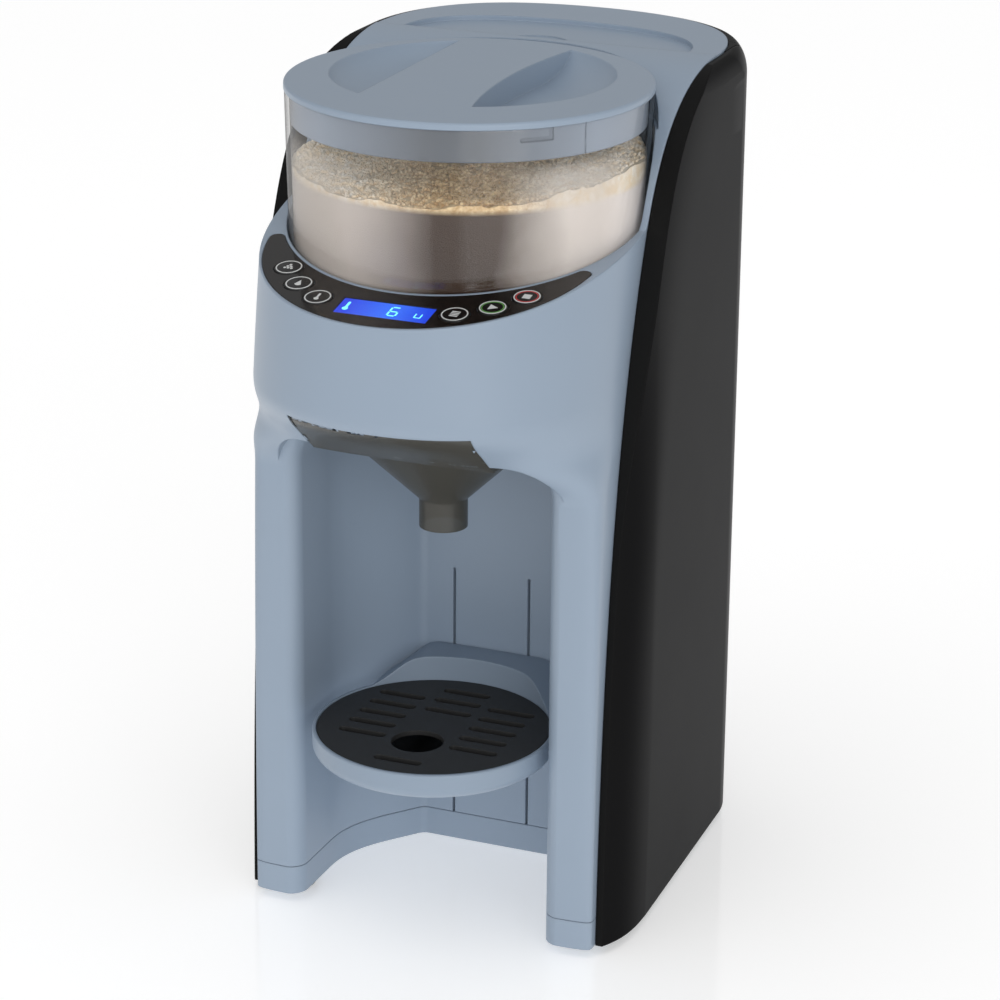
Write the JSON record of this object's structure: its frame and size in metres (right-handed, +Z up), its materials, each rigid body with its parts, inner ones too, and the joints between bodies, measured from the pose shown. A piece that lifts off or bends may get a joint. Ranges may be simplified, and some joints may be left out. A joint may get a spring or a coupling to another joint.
{
  "type": "baby formula maker",
  "caption": "Countertop baby formula maker: powder container over a tilted control head, open bottle alcove with funnel and height-set drip tray, water tank behind.",
  "frame": {"origin": "on the floor, under the middle of the machine's width and depth", "axes": "+X to the user's right seen from the front, -Y out of the front, +Z up"},
  "size_m": [0.181, 0.266, 0.37],
  "materials": {
    "blue_plastic": "satin gloss, pale steel blue",
    "dark_shell": "gloss, near black",
    "smoked_tank": "gloss, dark smoked",
    "charcoal_plastic": "matt, charcoal",
    "rubber": "matt",
    "panel_lens": "polished black",
    "button_caps": "polished black with a pale ring",
    "display": "lit blue display",
    "circuit_board": "green laminate",
    "clear_plastic": "clear polished plastic",
    "powder": "loose milk powder",
    "white_plastic": "satin white",
    "steel": "brushed",
    "silicone": "milky silicone",
    "smoked_plastic": "dark translucent plastic"
  },
  "bodies": {
    "housing": {"front_housing": "blue_plastic", "inner_frame": "charcoal_plastic", "base_plinth": "blue_plastic", "side_shell_left": "dark_shell", "side_shell_right": "dark_shell", "deck_corner_left": "dark_shell", "deck_corner_right": "dark_shell", "rear_chassis": "charcoal_plastic", "power_inlet": "rubber", "foot_front_left": "rubber", "foot_front_right": "rubber", "foot_rear_left": "rubber", "foot_rear_right": "rubber", "control_panel": "panel_lens", "display_window": "display", "control_board": "circuit_board", "main_board": "circuit_board", "gear_motor": "steel", "powder_chute": "white_plastic", "tank_seat": "rubber", "water_pump": "charcoal_plastic", "water_heater": "steel", "water_nozzle": "white_plastic", "feed_hose": "silicone", "pressure_hose": "silicone", "nozzle_hose": "silicone"},
    "drive": {"drive_coupling": "white_plastic"},
    "container": {"powder_container": "clear_plastic", "formula_powder": "powder"},
    "container_lid_body": {"container_lid": "blue_plastic", "lid_gasket": "silicone"},
    "agitator": {"dosing_wheel": "white_plastic", "stirring_wheel": "white_plastic", "hub_nut": "white_plastic"},
    "funnel_body": {"funnel": "smoked_plastic"},
    "tray": {"drip_tray": "blue_plastic", "tray_bracket": "blue_plastic"},
    "tray_cover_body": {"tray_cover": "charcoal_plastic"},
    "tank": {"water_tank": "smoked_tank", "tank_valve": "white_plastic"},
    "tank_lid": {"tank_lid_frame": "dark_shell", "tank_lid_panel": "blue_plastic", "tank_lid_gasket": "silicone"},
    "push_powder": {"button_powder": "button_caps"},
    "push_water": {"button_water": "button_caps"},
    "push_temperature": {"button_temperature": "button_caps"},
    "push_amount": {"button_amount": "button_caps"},
    "push_start": {"button_start": "button_caps"},
    "push_stop": {"button_stop": "button_caps"}
  },
  "joints": [
    {"name": "drive_turn", "type": "hinge", "parent": "housing", "child": "drive", "pos_m": [0, -0.0254, 0.27], "axis": [0, 0, 1], "continuous": true},
    {"name": "container_lift", "type": "slide", "parent": "housing", "child": "container", "axis": [0, 0, 1], "range_m": [0, 0.09]},
    {"name": "container_lid_lift", "type": "slide", "parent": "container", "child": "container_lid_body", "axis": [0, 0, 1], "range_m": [0, 0.03]},
    {"name": "agitator_turn", "type": "hinge", "parent": "container", "child": "agitator", "pos_m": [0, -0.0254, 0.3], "axis": [0, 0, 1], "continuous": true},
    {"name": "funnel_slide", "type": "slide", "parent": "housing", "child": "funnel_body", "axis": [0, -1, 0], "range_m": [0, 0.095]},
    {"name": "tray_height", "type": "slide", "parent": "housing", "child": "tray", "axis": [0, 0, 1], "range_m": [-0.05, 0.035]},
    {"name": "tray_cover_lift", "type": "slide", "parent": "tray", "child": "tray_cover_body", "axis": [0, 0, 1], "range_m": [0, 0.02]},
    {"name": "tank_lift", "type": "slide", "parent": "housing", "child": "tank", "axis": [0, 0, 1], "range_m": [0, 0.1]},
    {"name": "tank_lid_lift", "type": "slide", "parent": "tank", "child": "tank_lid", "axis": [0, 0, 1], "range_m": [0, 0.03]},
    {"name": "press_powder", "type": "slide", "parent": "housing", "child": "push_powder", "axis": [0, 0.1961, -0.9806], "range_m": [0, 0.0008], "stiffness_N_per_m": 400, "springref_m": -0.0004},
    {"name": "press_water", "type": "slide", "parent": "housing", "child": "push_water", "axis": [0, 0.1961, -0.9806], "range_m": [0, 0.0008], "stiffness_N_per_m": 400, "springref_m": -0.0004},
    {"name": "press_temperature", "type": "slide", "parent": "housing", "child": "push_temperature", "axis": [0, 0.1961, -0.9806], "range_m": [0, 0.0008], "stiffness_N_per_m": 400, "springref_m": -0.0004},
    {"name": "press_amount", "type": "slide", "parent": "housing", "child": "push_amount", "axis": [0, 0.1961, -0.9806], "range_m": [0, 0.0008], "stiffness_N_per_m": 400, "springref_m": -0.0004},
    {"name": "press_start", "type": "slide", "parent": "housing", "child": "push_start", "axis": [0, 0.1961, -0.9806], "range_m": [0, 0.0008], "stiffness_N_per_m": 400, "springref_m": -0.0004},
    {"name": "press_stop", "type": "slide", "parent": "housing", "child": "push_stop", "axis": [0, 0.1961, -0.9806], "range_m": [0, 0.0008], "stiffness_N_per_m": 400, "springref_m": -0.0004}
  ],
  "couplings": [
    {"joint": "drive_turn", "follows": "agitator_turn", "ratio": 1}
  ]
}
